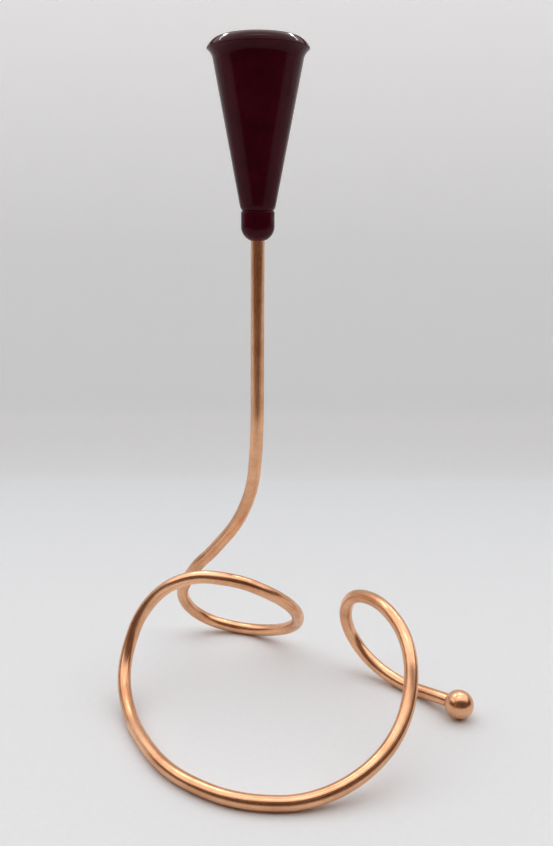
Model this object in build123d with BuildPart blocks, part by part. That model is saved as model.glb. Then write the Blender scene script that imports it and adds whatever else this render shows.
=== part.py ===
from build123d import *
import os

# Spiral candle holder: one bent copper rod carries a turned cup for a taper candle.
# Millimetres. +Z is up, the origin is on the table under the stem's axis, and -Y is the front.

# The rod
rod_diameter = 5.2
stem_foot_height = 114.4
stem_length = 68.2
shoulder_width = 0.6
stud_chamfer = 0.4
stud_reach = 2.0

# The loops of the rod: how far they go sideways, to the front and up
side_reach = 57.0
front_reach = 84.0
loop_rise = 46.0

# The ball on the tail, and how far right and forward of the rod's last station it lies
ball_diameter = 11.1
tail_right = 17.0
tail_front = 18.2

# The bead under the cup
bead_diameter = 12.5
bead_height = 11.1
bead_bottom_flat = 1.4
bead_top_round = 0.6
bead_seat_depth = 3.0

# The candle and its socket
candle_diameter = 22.2
candle_clearance = 0.2
socket_depth = 15.0
socket_wall = 2.8
liner_wall = 0.5

# The cup
cup_height = 55.5
cup_foot_diameter = 12.6
neck_depth = 0.55
neck_height = 1.2
cup_floor = 11.8
flare_height = 3.4
lip_overhang = 2.2
lip_round = 0.2
rim_bulge = 1.0
mouth_wall = 1.0
mouth_rise = 3.9

# Washer and nut
nut_wall = 1.5
nut_height = 3.2
nut_chamfer = 0.4
washer_overhang = 0.5
washer_thickness = 0.8

# Clearances, each side
rod_clearance = 0.05
stud_clearance = 0.05
liner_clearance = 0.05
well_clearance = 0.7

# Stations of the rod's centreline below the stem, as shares of side_reach, front_reach and loop_rise.
# The first follows the stem's foot. A station with no rise lies on the table, and the rod is level there.
station_shares = [
    (-0.13, 0.08, 1.41),
    (-0.31, 0.14, 1.08),
    (-0.47, 0.20, 0.83),
    (-0.57, 0.35, 0.38),
    (-0.45, 0.43, 0.14),
    (-0.11, 0.43, 0.00),
    (0.17, 0.31, 0.10),
    (0.31, 0.10, 0.41),
    (0.11, -0.10, 0.83),
    (-0.17, -0.13, 0.99),
    (-0.48, -0.10, 0.98),
    (-0.81, -0.07, 0.64),
    (-0.91, -0.13, 0.35),
    (-0.79, -0.51, 0.00),
    (-0.41, -0.87, 0.00),
    (-0.10, -0.98, 0.00),
    (0.13, -1.00, 0.00),
    (0.54, -0.94, 0.08),
    (0.91, -0.72, 0.37),
    (0.95, -0.44, 0.80),
    (0.86, -0.30, 0.89),
    (0.67, -0.05, 0.74),
    (0.68, 0.05, 0.38),
    (1.08, -0.15, 0.00),
]

# The gap of the rod to itself is measured between points at least neighbour_share of its length apart
gap_samples = 300
neighbour_share = 0.1

os.makedirs("parts", exist_ok=True)

# Radii
rod_radius = rod_diameter / 2
stud_radius = rod_radius - shoulder_width
stud_bore_radius = stud_radius + stud_clearance
ball_radius = ball_diameter / 2
bead_radius = bead_diameter / 2
bead_bottom_round = bead_radius - bead_bottom_flat / 2
cup_foot_radius = cup_foot_diameter / 2
nut_flat_radius = stud_radius + nut_wall
nut_corner_radius = nut_flat_radius * 2 / 3 ** 0.5
washer_radius = nut_corner_radius + washer_overhang
well_radius = washer_radius + well_clearance
socket_radius = candle_diameter / 2 + candle_clearance
liner_radius = socket_radius + liner_wall
cup_bore_radius = liner_radius + liner_clearance

# Heights of the stack on the stem, from the rod's shoulder up
shoulder_height = stem_foot_height + stem_length
bead_base_height = shoulder_height - bead_seat_depth
cup_base_height = bead_base_height + bead_height
well_floor_height = cup_base_height + cup_floor
nut_base_height = well_floor_height + washer_thickness
stud_top_height = nut_base_height + nut_height + stud_reach
lip_height = cup_base_height + cup_height
flare_base_height = lip_height - flare_height
liner_rim_height = lip_height + mouth_rise
liner_floor_height = liner_rim_height - socket_depth
socket_base_height = liner_floor_height - liner_wall

# The cone passes the socket's lower corner by socket_wall
cone_slope = (cup_bore_radius + socket_wall - cup_foot_radius) / (socket_base_height - cup_base_height)
cone_top_radius = cup_foot_radius + cone_slope * (flare_base_height - cup_base_height)
lip_radius = cone_top_radius + lip_overhang
neck_radius = cup_foot_radius + cone_slope * neck_height
mouth_radius = cup_bore_radius + mouth_wall


def circle_direction(before, here, after):
    """Direction, at the middle one of three points, of the circle through them."""
    arriving = here - before
    leaving = after - here
    return (arriving / arriving.length ** 2 + leaving / leaving.length ** 2).normalized()


def biarc_joint(start, start_direction, end, end_direction):
    """Point and direction where the two tangent arcs from start to end meet."""
    chord = end - start
    both = start_direction + end_direction
    spread = 2 * (1 - start_direction.dot(end_direction))
    along = chord.dot(both)
    handle = chord.dot(chord) / (along + (along ** 2 + spread * chord.dot(chord)) ** 0.5)
    first_handle = start + start_direction * handle
    second_handle = end - end_direction * handle
    return (first_handle + second_handle) / 2, (second_handle - first_handle).normalized()


# Points of the centreline from the stem's foot to where the rod enters the ball
stem_top = Vector(0, 0, shoulder_height)
stations = [Vector(0, 0, stem_foot_height)]
for side_share, front_share, rise_share in station_shares:
    rise = rod_radius + rise_share * loop_rise
    stations.append(Vector(side_share * side_reach, front_share * front_reach, rise))
last_station = stations[-1]
ball_centre = Vector(last_station.X + tail_right, last_station.Y - tail_front, ball_radius)
tail_direction = (ball_centre - last_station).normalized()
stations.append(ball_centre - tail_direction * ball_radius)

# Directions of the centreline at those points
directions = [Vector(0, 0, -1)]
for before, here, after in zip(stations, stations[1:], stations[2:]):
    direction = circle_direction(before, here, after)
    if here.Z <= rod_radius:
        direction = Vector(direction.X, direction.Y, 0).normalized()
    directions.append(direction)
directions.append(tail_direction)

# One rod, bent cold: straight stem, a pair of arcs between stations, and a straight tail in the ball
with BuildPart() as spiral_rod:
    with BuildLine() as rod_path:
        Line(stem_top, stations[0])
        for index in range(len(stations) - 1):
            start = stations[index]
            end = stations[index + 1]
            joint, joint_direction = biarc_joint(start, directions[index], end, directions[index + 1])
            TangentArc(start, joint, tangent=directions[index])
            TangentArc(joint, end, tangent=joint_direction)
        Line(stations[-1], ball_centre)
    with BuildSketch(Plane(origin=stem_top, x_dir=(1, 0, 0), z_dir=(0, 0, -1))):
        Circle(rod_radius)
    sweep()
    swept_volume = spiral_rod.part.volume
    with BuildSketch(Plane.XY.offset(shoulder_height)):
        Circle(stud_radius)
    extrude(amount=stud_top_height - shoulder_height)
    chamfer(spiral_rod.edges().filter_by(GeomType.CIRCLE).sort_by(Axis.Z)[-1], stud_chamfer)
spiral_rod.part.label = "spiral_rod"
export_step(spiral_rod.part, "parts/spiral_rod.step")

# The ball is drilled to its centre, along the tail
with BuildPart() as end_ball:
    with Locations(ball_centre):
        Sphere(ball_radius)
    with BuildSketch(Plane(origin=ball_centre, z_dir=-tail_direction)):
        Circle(rod_radius + rod_clearance)
    extrude(amount=ball_radius, mode=Mode.SUBTRACT)
end_ball.part.label = "end_ball"
export_step(end_ball.part, "parts/end_ball.step")

# The bead drops over the stud, and its lower bore takes the rod up to the shoulder
with BuildPart() as neck_bead:
    with BuildSketch(Plane.XY.offset(bead_base_height)):
        Circle(bead_radius)
    extrude(amount=bead_height)
    fillet(neck_bead.edges().sort_by(Axis.Z)[-1], bead_top_round)
    fillet(neck_bead.edges().sort_by(Axis.Z)[0], min(bead_bottom_round, bead_height - 2 * bead_top_round))
    with BuildSketch(Plane.XY.offset(bead_base_height)):
        Circle(rod_radius + rod_clearance)
    extrude(amount=bead_seat_depth, mode=Mode.SUBTRACT)
    with BuildSketch(Plane.XY.offset(shoulder_height)):
        Circle(stud_bore_radius)
    extrude(amount=bead_height, mode=Mode.SUBTRACT)
neck_bead.part.label = "neck_bead"
export_step(neck_bead.part, "parts/neck_bead.step")

# The cup is turned: necked foot, straight cone, flared lip, domed rim above it, stepped bore
with BuildPart() as candle_cup:
    with BuildSketch(Plane.XZ):
        with BuildLine():
            foot = Line((stud_bore_radius, cup_base_height), (cup_foot_radius - neck_depth, cup_base_height))
            neck = Line(foot @ 1, (neck_radius, cup_base_height + neck_height))
            cone = Line(neck @ 1, (cone_top_radius, flare_base_height))
            flare = TangentArc(cone @ 1, (lip_radius, lip_height), tangent=cone % 1)
            rim = SagittaArc(flare @ 1, (mouth_radius, liner_rim_height), -rim_bulge)
            mouth = Line(rim @ 1, (cup_bore_radius, liner_rim_height))
            bore = Line(mouth @ 1, (cup_bore_radius, socket_base_height))
            step = Line(bore @ 1, (well_radius, socket_base_height))
            well = Line(step @ 1, (well_radius, well_floor_height))
            ledge = Line(well @ 1, (stud_bore_radius, well_floor_height))
            Line(ledge @ 1, foot @ 0)
        make_face()
    revolve(axis=Axis.Z)
    fillet(candle_cup.edges().filter_by(GeomType.CIRCLE).sort_by(SortBy.RADIUS)[-1], lip_round)
candle_cup.part.label = "candle_cup"
export_step(candle_cup.part, "parts/candle_cup.step")

# Washer on the floor of the cup's well
with BuildPart() as clamp_washer:
    with BuildSketch(Plane.XY.offset(well_floor_height)):
        Circle(washer_radius)
        Circle(stud_bore_radius, mode=Mode.SUBTRACT)
    extrude(amount=washer_thickness)
clamp_washer.part.label = "clamp_washer"
export_step(clamp_washer.part, "parts/clamp_washer.step")

# Hexagon nut on the stud
with BuildPart() as clamp_nut:
    with BuildSketch(Plane.XY.offset(nut_base_height)):
        RegularPolygon(nut_corner_radius, 6)
        Circle(stud_bore_radius, mode=Mode.SUBTRACT)
    extrude(amount=nut_height)
    chamfer(clamp_nut.edges().filter_by(GeomType.CIRCLE), nut_chamfer)
clamp_nut.part.label = "clamp_nut"
export_step(clamp_nut.part, "parts/clamp_nut.step")

# Thin brass liner of the candle's socket, closed below
with BuildPart() as socket_liner:
    with BuildSketch(Plane.XY.offset(socket_base_height)):
        Circle(liner_radius)
    extrude(amount=liner_rim_height - socket_base_height)
    with BuildSketch(Plane.XY.offset(liner_floor_height)):
        Circle(socket_radius)
    extrude(amount=socket_depth, mode=Mode.SUBTRACT)
socket_liner.part.label = "socket_liner"
export_step(socket_liner.part, "parts/socket_liner.step")

rod_wire = rod_path.wires()[0]
section_volume = rod_wire.length * Circle(rod_radius, mode=Mode.PRIVATE).area
bend_radii = [edge.radius for edge in rod_path.edges().filter_by(GeomType.CIRCLE)]
samples = [rod_wire @ (index / gap_samples) for index in range(gap_samples + 1)]
far = round(gap_samples * neighbour_share)
spans = [(a - b).length for index, a in enumerate(samples) for b in samples[index + far:]]
print(f"rod: length {rod_wire.length:.1f}, volume {swept_volume:.0f}, section by length {section_volume:.0f}")
print(f"rod: least bend radius {min(bend_radii):.1f}, least gap to itself {min(spans) - rod_diameter:.1f}")
cup_top_height = candle_cup.part.bounding_box().max.Z
print(f"cup: cone to {cone_top_radius:.2f}, lip radius {lip_radius:.2f}, top at {cup_top_height:.2f}")
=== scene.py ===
# %% [markdown]
# # Spiral candle holder
# One copper rod is bent cold into loops that stand on the table. Its upright end is the stem, and a dark red
# turned cup for a taper candle is fastened on it over a bead. A ball closes the rod's other end.
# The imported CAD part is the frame. Each piece below stands for one of its nodes, at the same place and size.

# %% Load the frame
import math
import bmesh
import bpy
from mathutils import Matrix, Vector


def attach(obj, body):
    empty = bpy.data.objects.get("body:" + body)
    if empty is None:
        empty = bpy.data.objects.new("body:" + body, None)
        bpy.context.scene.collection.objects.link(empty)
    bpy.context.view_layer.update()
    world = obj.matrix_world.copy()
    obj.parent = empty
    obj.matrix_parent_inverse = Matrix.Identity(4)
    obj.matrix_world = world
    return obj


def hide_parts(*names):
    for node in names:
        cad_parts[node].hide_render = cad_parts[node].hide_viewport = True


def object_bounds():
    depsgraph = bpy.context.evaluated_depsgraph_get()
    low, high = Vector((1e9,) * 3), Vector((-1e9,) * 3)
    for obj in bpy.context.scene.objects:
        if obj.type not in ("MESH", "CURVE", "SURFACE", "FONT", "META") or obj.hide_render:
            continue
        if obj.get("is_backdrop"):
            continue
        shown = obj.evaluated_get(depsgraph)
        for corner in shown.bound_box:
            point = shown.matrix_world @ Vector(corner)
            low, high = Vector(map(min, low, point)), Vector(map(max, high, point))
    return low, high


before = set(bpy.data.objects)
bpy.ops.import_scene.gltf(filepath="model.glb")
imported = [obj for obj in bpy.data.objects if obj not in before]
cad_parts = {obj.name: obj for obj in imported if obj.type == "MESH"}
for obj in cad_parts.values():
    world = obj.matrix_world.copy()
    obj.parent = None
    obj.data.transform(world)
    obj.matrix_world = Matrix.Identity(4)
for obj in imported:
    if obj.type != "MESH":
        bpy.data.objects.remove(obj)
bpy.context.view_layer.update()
MM = 0.001

# %% [markdown]
# ## Sizes
# The sizes are those of the CAD part, in millimetres. They are named once here and used by every piece.

# %% Sizes of the pieces
rod_radius = 2.6
stem_foot = 114.4
shoulder = 182.6
stud_radius = 2.0
stud_top = 208.5
stud_chamfer = 0.4
stud_bore = 2.05
rod_bore = 2.65
ball_radius = 5.55
bead_radius = 6.25
bead_base = 179.6
cup_base = 190.7
cup_foot_radius = 6.3
neck_depth = 0.55
neck_height = 1.2
cone_top_radius = 16.21
flare_base = 242.8
lip_radius = 18.41
lip_height = 246.2
mouth_height = 250.1
mouth_radius = 12.85
rim_bulge = 1.0
bore_radius = 11.85
socket_base = 234.6
well_radius = 5.24
well_floor = 202.5
liner_radius = 11.8
liner_bore = 11.3
liner_floor = 235.1

# Stations of the rod's centreline, as shares of how far the loops go to the side, to the front and up.
side_reach, front_reach, loop_rise = 57.0, 84.0, 46.0
station_shares = [
    (-0.13, 0.08, 1.41), (-0.31, 0.14, 1.08), (-0.47, 0.20, 0.83), (-0.57, 0.35, 0.38),
    (-0.45, 0.43, 0.14), (-0.11, 0.43, 0.00), (0.17, 0.31, 0.10), (0.31, 0.10, 0.41),
    (0.11, -0.10, 0.83), (-0.17, -0.13, 0.99), (-0.48, -0.10, 0.98), (-0.81, -0.07, 0.64),
    (-0.91, -0.13, 0.35), (-0.79, -0.51, 0.00), (-0.41, -0.87, 0.00), (-0.10, -0.98, 0.00),
    (0.13, -1.00, 0.00), (0.54, -0.94, 0.08), (0.91, -0.72, 0.37), (0.95, -0.44, 0.80),
    (0.86, -0.30, 0.89), (0.67, -0.05, 0.74), (0.68, 0.05, 0.38), (1.08, -0.15, 0.00),
]
tail_right, tail_front = 17.0, 18.2
stations = [Vector((0, 0, stem_foot))]
for side, front, rise in station_shares:
    stations.append(Vector((side * side_reach, front * front_reach, rod_radius + rise * loop_rise)))
ball_centre = Vector((stations[-1].x + tail_right, stations[-1].y - tail_front, ball_radius))
tail_direction = (ball_centre - stations[-1]).normalized()
stations.append(ball_centre - tail_direction * ball_radius)
print("stations", len(stations), "ball centre", [round(v, 2) for v in ball_centre])

# %% [markdown]
# ## Helpers
# A turned piece is a profile carried round its axis, as a lathe does. A bend is a ring carried round the
# centre of the bend, as a rod bends round a former. Both are Blender's spin.


# %% Helpers for pieces
def arc_to(start, direction, end):
    """Centre, axis and angle of the arc that leaves start along direction and reaches end."""
    chord = end - start
    inward = chord - chord.dot(direction) * direction
    if inward.length < 1e-6 * chord.length:
        return None, None, 0.0
    inward.normalize()
    radius = chord.length_squared / (2 * chord.dot(inward))
    angle = 2 * math.atan2(chord.dot(inward), chord.dot(direction))
    return start + inward * radius, direction.cross(inward), angle


def profile_line(bm, points):
    """A chain of edges through (radius, height) points, and its vertices."""
    verts = [bm.verts.new((r * MM, 0, z * MM)) for r, z in points]
    for a, b in zip(verts, verts[1:]):
        bm.edges.new((a, b))
    return verts


def profile_arc(bm, vert, centre, angle, steps):
    """Carries the chain's last vertex round a centre (radius, height), and gives the new last vertex."""
    made = bmesh.ops.spin(bm, geom=[vert], cent=(centre[0] * MM, 0, centre[1] * MM), axis=(0, 1, 0),
                          angle=angle, steps=steps)
    return made["geom_last"][0]


def round_corner(bm, vert, size, segments):
    """Rounds one corner of a profile."""
    bmesh.ops.bevel(bm, geom=[vert], offset=size * MM, offset_type="OFFSET", affect="VERTICES",
                    segments=segments, profile=0.5, material=-1)


def lathe(bm, steps, centre=(0, 0, 0), axis=(0, 0, 1)):
    """Turns the profile once round its axis."""
    bmesh.ops.spin(bm, geom=bm.verts[:] + bm.edges[:], cent=centre, axis=axis, angle=2 * math.pi,
                   steps=steps, use_merge=True)
    bmesh.ops.remove_doubles(bm, verts=bm.verts[:], dist=1e-6)


sharp_angle = math.radians(35)


def finish_piece(name, bm, node):
    """Makes the object, and lets it stand for its CAD node."""
    bmesh.ops.recalc_face_normals(bm, faces=bm.faces[:])
    mesh = bpy.data.meshes.new(name)
    bm.to_mesh(mesh)
    bm.free()
    mesh.shade_smooth()
    mesh.set_sharp_from_angle(angle=sharp_angle)
    piece = bpy.data.objects.new(name, mesh)
    bpy.context.scene.collection.objects.link(piece)
    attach(piece, "root")
    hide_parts(node)
    print(name, "faces", len(mesh.polygons), "size mm", [round(v / MM, 2) for v in piece.dimensions])
    return piece


# %% [markdown]
# ## The rod
# On the real holder this is one length of drawn copper rod, bent cold round formers, with a stud turned and
# threaded on its upper end. A curve with a round bevel could make it, but then the shoulder, the stud and the
# draw marks would have no place. Here a ring of the rod's section is carried from bend to bend, so that it
# never twists, and each ring keeps how far along the rod it is and where round it each point lies.

# %% Directions at the stations
directions = [Vector((0, 0, -1))]
for before, here, after in zip(stations, stations[1:], stations[2:]):
    arriving, leaving = here - before, after - here
    direction = (arriving / arriving.length_squared + leaving / leaving.length_squared).normalized()
    if here.z <= rod_radius + 1e-6:
        direction = Vector((direction.x, direction.y, 0)).normalized()
    directions.append(direction)
directions.append(tail_direction)
bends = []
for start, leave, end, arrive in zip(stations, directions, stations[1:], directions[1:]):
    chord = end - start
    along = chord.dot(leave + arrive)
    spread = 2 * (1 - leave.dot(arrive))
    handle = chord.length_squared / (along + math.sqrt(along ** 2 + spread * chord.length_squared))
    first, second = start + leave * handle, end - arrive * handle
    joint, joint_direction = (first + second) / 2, (second - first).normalized()
    bends.append((start, leave, joint))
    bends.append((joint, joint_direction, end))
print("bends", len(bends))

# %% Stem, shoulder and stud of the rod
bm = bmesh.new()
ring_segments = 48
along_layer = bm.verts.layers.float.new("along")
round_x_layer = bm.verts.layers.float.new("round_x")
round_y_layer = bm.verts.layers.float.new("round_y")
bmesh.ops.create_circle(bm, cap_ends=False, radius=rod_radius * MM, segments=ring_segments,
                        matrix=Matrix.Translation((0, 0, shoulder * MM)))
for vert in bm.verts:
    vert[round_x_layer] = vert.co.x / (rod_radius * MM)
    vert[round_y_layer] = vert.co.y / (rod_radius * MM)
top_ring = bm.edges[:]


def push_ring(bm, ring, shift, radius_from, radius_to, along):
    """Extrudes a ring of edges by shift and sets its radius."""
    made = bmesh.ops.extrude_edge_only(bm, edges=ring)["geom"]
    verts = [g for g in made if isinstance(g, bmesh.types.BMVert)]
    bmesh.ops.translate(bm, verts=verts, vec=shift * MM)
    middle = sum((v.co for v in verts), Vector()) / len(verts)
    scale = radius_to / radius_from
    bmesh.ops.scale(bm, verts=verts, vec=(scale, scale, scale), space=Matrix.Translation(-middle))
    for vert in verts:
        vert[along_layer] = along * MM
    verts = set(verts)
    edges = [g for g in made if isinstance(g, bmesh.types.BMEdge)]
    return [edge for edge in edges if verts.issuperset(edge.verts)]


stud_along = -26
stud_rise = Vector((0, 0, stud_top - stud_chamfer - shoulder))
stud_tip_radius = stud_radius - stud_chamfer
stud_ring = push_ring(bm, top_ring, Vector((0, 0, 0)), rod_radius, stud_radius, 0)
stud_ring = push_ring(bm, stud_ring, stud_rise, 1, 1, stud_along)
stud_ring = push_ring(bm, stud_ring, Vector((0, 0, stud_chamfer)), stud_radius, stud_tip_radius, stud_along)
bmesh.ops.edgeloop_fill(bm, edges=stud_ring)
ring = top_ring
travelled = 0.0
stem_steps = 24
stem_step = (shoulder - stem_foot) / stem_steps
for step in range(stem_steps):
    travelled += stem_step
    ring = push_ring(bm, ring, Vector((0, 0, -stem_step)), 1, 1, travelled)
print("stem to", round(travelled, 1), "mm")

# %% Bends of the rod, one after the other
ring_spacing = 2.0
for start, direction, end in bends:
    centre, axis, angle = arc_to(start, direction, end)
    length = (end - start).length if centre is None else (start - centre).length * angle
    steps = max(2, math.ceil(length / ring_spacing))
    for step in range(steps):
        travelled += length / steps
        if centre is None:
            ring = push_ring(bm, ring, (end - start) / steps, 1, 1, travelled)
            continue
        made = bmesh.ops.spin(bm, geom=ring, cent=centre * MM, axis=axis, angle=angle / steps, steps=1)
        ring = [g for g in made["geom_last"] if isinstance(g, bmesh.types.BMEdge)]
        for vert in {v for edge in ring for v in edge.verts}:
            vert[along_layer] = travelled * MM
end_middle = sum((v.co for v in {v for e in ring for v in e.verts}), Vector()) / ring_segments
end_error = (end_middle / MM - stations[-1]).length
print("rod length", round(travelled, 1), "mm, end off by", round(end_error, 4), "mm")
ring = push_ring(bm, ring, tail_direction * ball_radius, 1, 1, travelled + ball_radius)
bmesh.ops.edgeloop_fill(bm, edges=ring)
rod = finish_piece("rod", bm, "spiral_rod")

# %% [markdown]
# ## The ball
# A drilled ball, pushed on the rod's tail. The half circle of its section, with the drilled hole and a small
# broken edge at the hole's mouth, is turned once round the rod's own direction. A plain sphere would have
# the rod pass through its skin.

# %% Ball
bm = bmesh.new()
across = tail_direction.orthogonal().normalized()
swing = tail_direction.cross(across)
mouth_angle = math.pi - math.asin(rod_bore / ball_radius)
ball_edge, ball_profile_steps, ball_turn_steps = 0.18, 36, 72
pole = bm.verts.new((ball_centre + tail_direction * ball_radius) * MM)
made = bmesh.ops.spin(bm, geom=[pole], cent=ball_centre * MM, axis=swing, angle=mouth_angle,
                      steps=ball_profile_steps)
mouth = made["geom_last"][0]
hole_end = bm.verts.new((ball_centre + across * rod_bore) * MM)
hole_middle = bm.verts.new(ball_centre * MM)
bm.edges.new((mouth, hole_end))
bm.edges.new((hole_end, hole_middle))
round_corner(bm, mouth, ball_edge, 3)
lathe(bm, ball_turn_steps, ball_centre * MM, tail_direction)
ball = finish_piece("ball", bm, "end_ball")

# %% [markdown]
# ## Bead, cup and liner
# All three are lathe work on the real holder. The bead is turned with a well rounded lower side, the cup is a
# straight cone that flares to a thin edge under a half-round rim, and the liner is spun from thin brass. Each
# starts from the few corners of its section. Rounds come from spinning a point or from a corner bevel.

# %% Bead
bm = bmesh.new()
bead_flat, bead_edge, bead_turn_steps = 0.7, 0.6, 96
bead_round = bead_radius - bead_flat
round_top = bead_base + bead_round
bore_angle = math.acos((rod_bore - bead_flat) / bead_round)
chain = profile_line(bm, [(stud_bore, cup_base), (bead_radius, cup_base), (bead_radius, round_top)])
low = profile_arc(bm, chain[-1], (bead_flat, round_top), bore_angle, 20)
inner = profile_line(bm, [(rod_bore, shoulder), (stud_bore, shoulder)])
bm.edges.new((low, inner[0]))
bm.edges.new((inner[1], chain[0]))
round_corner(bm, chain[1], bead_edge, 6)
lathe(bm, bead_turn_steps)
bead = finish_piece("bead", bm, "neck_bead")

# %% Cup
bm = bmesh.new()
neck_edge, lip_edge, cup_turn_steps = 0.6, 0.2, 144
cone_slope = (cone_top_radius - cup_foot_radius) / (flare_base - cup_base)
neck_top = (cup_foot_radius + cone_slope * neck_height, cup_base + neck_height)
chain = profile_line(bm, [(stud_bore, cup_base), (cup_foot_radius - neck_depth, cup_base), neck_top,
                          (cone_top_radius, flare_base)])
cone_direction = Vector((cone_slope, 0, 1)).normalized()
lip_point = Vector((lip_radius, 0, lip_height))
centre, axis, angle = arc_to(Vector((cone_top_radius, 0, flare_base)), cone_direction, lip_point)
lip = profile_arc(bm, chain[-1], (centre.x, centre.z), angle * axis.y, 12)
chord = Vector((mouth_radius, 0, mouth_height)) - lip_point
rim_radius = (chord.length_squared / 4 + rim_bulge ** 2) / (2 * rim_bulge)
outward = Vector((-chord.z, 0, chord.x)).normalized()
outward = outward if outward.z > 0 else -outward
rim_centre = lip_point + chord / 2 + outward * (rim_bulge - rim_radius)
rim_angle = 2 * math.asin(chord.length / 2 / rim_radius)
inner_rim = profile_arc(bm, lip, (rim_centre.x, rim_centre.z), -rim_angle, 28)
inner = profile_line(bm, [(bore_radius, mouth_height), (bore_radius, socket_base), (well_radius, socket_base),
                          (well_radius, well_floor), (stud_bore, well_floor)])
bm.edges.new((inner_rim, inner[0]))
bm.edges.new((inner[-1], chain[0]))
print("rim ends at", [round(v / MM, 2) for v in inner_rim.co], "radius", round(rim_radius, 2))
round_corner(bm, chain[2], neck_edge, 5)
round_corner(bm, lip, lip_edge, 3)
lathe(bm, cup_turn_steps)
cup = finish_piece("cup", bm, "candle_cup")

# %% Liner
bm = bmesh.new()
liner_edge, liner_corner, liner_turn_steps = 0.12, 0.8, 96
chain = profile_line(bm, [(0, socket_base), (liner_radius, socket_base), (liner_radius, mouth_height),
                          (liner_bore, mouth_height), (liner_bore, liner_floor), (0, liner_floor)])
round_corner(bm, chain[2], liner_edge, 2)
round_corner(bm, chain[3], liner_edge, 2)
round_corner(bm, chain[4], liner_corner, 4)
lathe(bm, liner_turn_steps)
liner = finish_piece("liner", bm, "socket_liner")

# %% [markdown]
# ## Materials
# Copper: drawn and satin polished, so its shine is broad, with faint marks that run along the rod and a few
# darker stains. Cup and bead: near-black oxblood gloss, whose red shows only where light falls on it, with
# faint turning rings. Liner: spun brass. Washer and nut: plain steel.
# Pictures could be wrapped round the pieces, but a bent rod is hard to unwrap. Noise in the piece's own
# coordinates needs no unwrapping, and the rod's noise is stretched along its length, as drawing marks it.
# The gloss mirrors less than a real lacquer does, because the wide lamp would turn the rim grey.


# %% Material helpers
def new_material(name):
    """A material with its nodes and links."""
    material = bpy.data.materials.new(name)
    material.use_nodes = True
    return material, material.node_tree.nodes, material.node_tree.links


def add_noise(nodes, links, vector, scale, detail, roughness=0.5):
    """A noise texture on a vector socket."""
    noise = nodes.new("ShaderNodeTexNoise")
    noise.inputs["Scale"].default_value = scale
    noise.inputs["Detail"].default_value = detail
    noise.inputs["Roughness"].default_value = roughness
    links.new(vector, noise.inputs["Vector"])
    return noise.outputs["Fac"]


def add_ramp(nodes, links, value, low, high, at_low=0.3, at_high=0.7):
    """A colour that goes from low to high as the value does."""
    ramp = nodes.new("ShaderNodeValToRGB")
    ramp.color_ramp.elements[0].position, ramp.color_ramp.elements[1].position = at_low, at_high
    ramp.color_ramp.elements[0].color, ramp.color_ramp.elements[1].color = (*low, 1), (*high, 1)
    links.new(value, ramp.inputs["Fac"])
    return ramp.outputs["Color"]


def add_range(nodes, links, value, low, high, from_low=0.3, from_high=0.7):
    """A number that goes from low to high as the value does."""
    span = nodes.new("ShaderNodeMapRange")
    span.inputs["From Min"].default_value, span.inputs["From Max"].default_value = from_low, from_high
    span.inputs["To Min"].default_value, span.inputs["To Max"].default_value = low, high
    links.new(value, span.inputs["Value"])
    return span.outputs["Result"]


def add_bump(nodes, links, height, shader, strength, distance):
    """Fine relief on a shader."""
    bump = nodes.new("ShaderNodeBump")
    bump.inputs["Strength"].default_value, bump.inputs["Distance"].default_value = strength, distance
    links.new(height, bump.inputs["Height"])
    links.new(bump.outputs["Normal"], shader.inputs["Normal"])


def object_vector(nodes, links, scale=(1, 1, 1)):
    """Object coordinates, scaled."""
    coords = nodes.new("ShaderNodeTexCoord")
    mapping = nodes.new("ShaderNodeMapping")
    mapping.inputs["Scale"].default_value = scale
    links.new(coords.outputs["Object"], mapping.inputs["Vector"])
    return mapping.outputs["Vector"]


def dress(material, clouds, colours, grain, roughness, relief, metal=1.0, span=(0.3, 0.7)):
    """Colour from one noise, roughness and fine relief from another."""
    nodes, links = material.node_tree.nodes, material.node_tree.links
    shader = nodes["Principled BSDF"]
    links.new(add_ramp(nodes, links, clouds, *colours, *span), shader.inputs["Base Color"])
    links.new(add_range(nodes, links, grain, *roughness), shader.inputs["Roughness"])
    shader.inputs["Metallic"].default_value = metal
    add_bump(nodes, links, grain, shader, *relief)
    print(material.name, "colours", colours, "roughness", roughness)


# %% Copper of the rod
rod_copper, nodes, links = new_material("drawn_copper")
grain = nodes.new("ShaderNodeCombineXYZ")
for name, socket, factor in (("round_x", "X", 4.0), ("round_y", "Y", 4.0), ("along", "Z", 30.0)):
    attribute = nodes.new("ShaderNodeAttribute")
    attribute.attribute_name = name
    scaled = nodes.new("ShaderNodeMath")
    scaled.operation = "MULTIPLY"
    scaled.inputs[1].default_value = factor
    links.new(attribute.outputs["Fac"], scaled.inputs[0])
    links.new(scaled.outputs[0], grain.inputs[socket])
streaks = add_noise(nodes, links, grain.outputs["Vector"], 2.2, 5, 0.6)
stains = add_noise(nodes, links, object_vector(nodes, links), 55, 6, 0.62)
dress(rod_copper, stains, ((0.64, 0.32, 0.17), (0.92, 0.525, 0.31)), streaks,
      roughness=(0.22, 0.32), relief=(0.05, 0.0002), span=(0.32, 0.62))
rod.data.materials.append(rod_copper)

# %% Copper of the ball
ball_copper, nodes, links = new_material("turned_copper")
fine = add_noise(nodes, links, object_vector(nodes, links), 420, 4)
stains = add_noise(nodes, links, object_vector(nodes, links), 90, 5, 0.6)
dress(ball_copper, stains, ((0.66, 0.34, 0.18), (0.86, 0.48, 0.28)), fine,
      roughness=(0.23, 0.29), relief=(0.015, 0.0001), span=(0.3, 0.6))
ball.data.materials.append(ball_copper)

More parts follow.
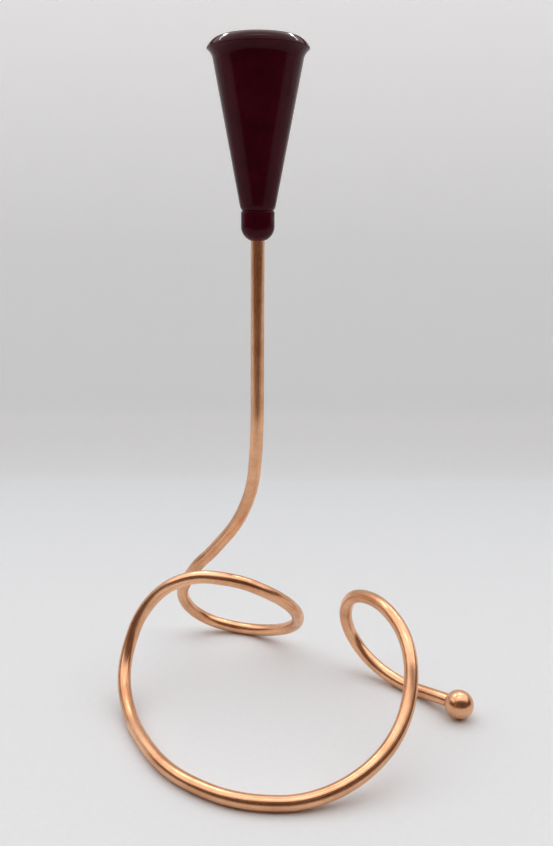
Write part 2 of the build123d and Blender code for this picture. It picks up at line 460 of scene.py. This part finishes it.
# %% Red gloss of cup and bead
red_gloss, nodes, links = new_material("oxblood_gloss")
rings = add_noise(nodes, links, object_vector(nodes, links, (30, 30, 1400)), 1.0, 3)
clouds = add_noise(nodes, links, object_vector(nodes, links), 120, 5, 0.6)
dress(red_gloss, clouds, ((0.04, 0.0015, 0.006), (0.07, 0.004, 0.013)), rings,
      roughness=(0.05, 0.11), relief=(0.03, 0.0001), metal=0.0)
nodes["Principled BSDF"].inputs["Specular IOR Level"].default_value = 0.1
cup.data.materials.append(red_gloss)
bead.data.materials.append(red_gloss)

# %% Brass of the liner
brass, nodes, links = new_material("spun_brass")
rings = add_noise(nodes, links, object_vector(nodes, links, (40, 40, 2500)), 1.0, 3)
stains = add_noise(nodes, links, object_vector(nodes, links), 160, 5)
dress(brass, stains, ((0.42, 0.29, 0.12), (0.7, 0.52, 0.25)), rings,
      roughness=(0.28, 0.45), relief=(0.1, 0.0001))
liner.data.materials.append(brass)

# %% Steel of washer and nut
steel, nodes, links = new_material("plain_steel")
brushed = add_noise(nodes, links, object_vector(nodes, links, (1, 1, 6)), 700, 3)
stains = add_noise(nodes, links, object_vector(nodes, links), 300, 4)
dress(steel, stains, ((0.42, 0.42, 0.43), (0.62, 0.62, 0.63)), brushed,
      roughness=(0.3, 0.5), relief=(0.1, 0.0001))
for name in ("clamp_washer", "clamp_nut"):
    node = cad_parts[name]
    node.data.materials.clear()
    node.data.materials.append(steel)
print("materials", sorted(m.name for m in bpy.data.materials if m.users))

# %% [markdown]
# ## Table and backdrop
# In the photo the holder stands on white, and no edge shows between the table and the pale ground behind it.
# Two planes would meet in a line, so one flat strip is carried up round the back, as a photographer hangs
# paper. It glows faintly with height, which gives the photo's lighter top, it is a little blue against the
# warm room, and it is clear from behind, so that the holder can be looked at from there.

# %% Sweep of white paper
bm = bmesh.new()
paper_side, paper_front, paper_length = 2.5, -0.38, 0.64
paper_back, curve_radius, wall_height = 0.26, 0.05, 0.34
left = bm.verts.new((-paper_side, paper_front, 0))
right = bm.verts.new((paper_side, paper_front, 0))
edge = bm.edges.new((left, right))
flat = bmesh.ops.extrude_edge_only(bm, edges=[edge])["geom"]
moved = [g for g in flat if isinstance(g, bmesh.types.BMVert)]
bmesh.ops.translate(bm, verts=moved, vec=(0, paper_length, 0))
far = [g for g in flat if isinstance(g, bmesh.types.BMEdge)][0]
made = bmesh.ops.spin(bm, geom=[far], cent=(0, paper_back, curve_radius), axis=(1, 0, 0),
                      angle=math.pi / 2, steps=24)
top = [g for g in made["geom_last"] if isinstance(g, bmesh.types.BMEdge)]
wall = bmesh.ops.extrude_edge_only(bm, edges=top)["geom"]
moved = [g for g in wall if isinstance(g, bmesh.types.BMVert)]
bmesh.ops.translate(bm, verts=moved, vec=(0, 0, wall_height))
bmesh.ops.recalc_face_normals(bm, faces=bm.faces[:])
bmesh.ops.reverse_faces(bm, faces=bm.faces[:])
mesh = bpy.data.meshes.new("paper_sweep")
bm.to_mesh(mesh)
bm.free()
mesh.shade_smooth()
sweep = bpy.data.objects.new("paper_sweep", mesh)
bpy.context.scene.collection.objects.link(sweep)
sweep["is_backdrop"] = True
print("sweep faces", len(mesh.polygons))

# %% White of the paper
paper, nodes, links = new_material("white_paper")
fibres = add_noise(nodes, links, object_vector(nodes, links), 500, 3)
dress(paper, fibres, ((0.845, 0.896, 0.93), (0.865, 0.916, 0.95)), fibres,
      roughness=(0.6, 0.7), relief=(0.02, 0.0005), metal=0.0)
height = nodes.new("ShaderNodeSeparateXYZ")
links.new(object_vector(nodes, links), height.inputs["Vector"])
shader = nodes["Principled BSDF"]
shader.inputs["Emission Color"].default_value = (1, 1, 1, 1)
glow = nodes.new("ShaderNodeValToRGB")
glow_height = 0.5
glow_steps = [(0.0, 0.0), (0.07, 0.12), (0.32, 0.16), (0.8, 0.4)]
for position, value in glow_steps[1:-1]:
    glow.color_ramp.elements.new(position)
for element, (position, value) in zip(glow.color_ramp.elements, glow_steps):
    element.position, element.color = position, (value, value, value, 1)
links.new(add_range(nodes, links, height.outputs["Z"], 0.0, 1.0, 0.0, glow_height), glow.inputs["Fac"])
links.new(glow.outputs["Color"], shader.inputs["Emission Strength"])
geometry = nodes.new("ShaderNodeNewGeometry")
clear = nodes.new("ShaderNodeBsdfTransparent")
from_behind = nodes.new("ShaderNodeMixShader")
links.new(geometry.outputs["Backfacing"], from_behind.inputs["Fac"])
links.new(shader.outputs["BSDF"], from_behind.inputs[1])
links.new(clear.outputs["BSDF"], from_behind.inputs[2])
links.new(from_behind.outputs["Shader"], nodes["Material Output"].inputs["Surface"])
sweep.data.materials.append(paper)

# %% [markdown]
# ## Light
# Shadows fall towards the camera and are soft, so the main light is a wide one, above and behind. The room on
# the camera's side is dark and warm, which leaves a dark line along the middle of the rod. A picture of a room
# could light all this at once, but lamps can be placed one by one. Two chains of narrow tubes behind the cup
# stand where the rim mirrors them as the photo's two white slashes, and a ceiling tube is mirrored too. These
# tubes show in reflections only, so that they leave the paper as the wide lamp lights it.


# %% Lamps
def add_area(name, place, target, size_x, size_y, power):
    """A rectangular lamp that looks at a target."""
    lamp = bpy.data.lights.new(name, "AREA")
    lamp.shape = "RECTANGLE"
    lamp.size, lamp.size_y, lamp.energy = size_x, size_y, power
    lit = bpy.data.objects.new(name, lamp)
    lit.location = place
    lit.rotation_euler = (Vector(target) - Vector(place)).to_track_quat("-Z", "Y").to_euler()
    bpy.context.scene.collection.objects.link(lit)
    return lit


add_area("overhead", place=(-0.1, 0.35, 1.4), target=(-0.1, 0.3, 0), size_x=5.0, size_y=2.4, power=47.5)
ceiling_tube = add_area("ceiling_tube", place=(0, -0.05, 1.25), target=(0, 0, 0.1), size_x=0.6, size_y=0.04,
                        power=0.55)
ceiling_tube.visible_diffuse = False

# %% Tubes behind the cup
mouth_middle = Vector((0, 0, mouth_height * MM))
tube_distance, tube_width, tube_radiance = 0.24, 0.017, 16
tube_ends = [(0.075, 0.43), (0.155, 0.522), (0.32, 0.592)]
for side in (-1, 1):
    for (low_x, low_z), (high_x, high_z) in zip(tube_ends, tube_ends[1:]):
        low_end = Vector((low_x * side, tube_distance, low_z))
        high_end = Vector((high_x * side, tube_distance, high_z))
        length = (high_end - low_end).length
        tube = add_area("back_tube", (high_end + low_end) / 2, mouth_middle, tube_width, length,
                        tube_radiance * math.pi * tube_width * length)
        facing = (mouth_middle - tube.location).normalized()
        along = (high_end - low_end).normalized()
        along = (along - along.dot(facing) * facing).normalized()
        tube.rotation_euler = Matrix((along.cross(-facing), along, -facing)).transposed().to_euler()
        tube.visible_diffuse = tube.visible_camera = False
        print(tube.name, "length", round(length, 3), "m, power", round(tube.data.energy, 3), "W")

# %% The room
room_colour, room_strength = (1, 0.56, 0.37, 1), 0.13
world = bpy.data.worlds.new("room")
world.use_nodes = True
background = world.node_tree.nodes["Background"]
background.inputs["Color"].default_value = room_colour
background.inputs["Strength"].default_value = room_strength
bpy.context.scene.world = world
print("room", room_colour, room_strength)

# %% [markdown]
# ## Camera
# The camera stands a little below the cup's rim, tilted down, with its lens centred on the stem: the
# photo was cropped sideways, so the picture's middle is to the right of the lens axis. It could be set by eye,
# but these values were fitted together with the rod's depth, so that the rod follows the photo.

# %% Camera
camera_data = bpy.data.cameras.new("photo_camera")
picture_height, focal_pixels, shift_pixels, sensor_height = 846, 850, 18.5, 24
camera_data.sensor_fit = "VERTICAL"
camera_data.sensor_height = sensor_height
camera_data.lens = sensor_height * focal_pixels / picture_height
camera_data.shift_x = shift_pixels / picture_height
camera_data.clip_start = 0.01
camera = bpy.data.objects.new("photo_camera", camera_data)
bpy.context.scene.collection.objects.link(camera)
pitch, roll, yaw = 0.24679, 0.00323, 0.0010
ahead = Vector((math.sin(yaw), math.cos(yaw), 0))
forward = ahead * math.cos(pitch) - Vector((0, 0, math.sin(pitch)))
level = Vector((math.cos(yaw), -math.sin(yaw), 0))
upright = level.cross(forward)
right_axis = level * math.cos(roll) + upright * math.sin(roll)
up_axis = upright * math.cos(roll) - level * math.sin(roll)
turned = Matrix((right_axis, up_axis, -forward)).transposed()
camera.location = (0, -0.32347, 0.19145)
camera.rotation_euler = turned.to_euler()
bpy.context.scene.camera = camera
bpy.context.scene.view_settings.view_transform = "Standard"
print("camera at", [round(v, 4) for v in camera.location], "lens", round(camera_data.lens, 2), "mm")

# %% Box of the shown pieces
low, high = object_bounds()
print("visual box", [round(v, 4) for v in low], [round(v, 4) for v in high])
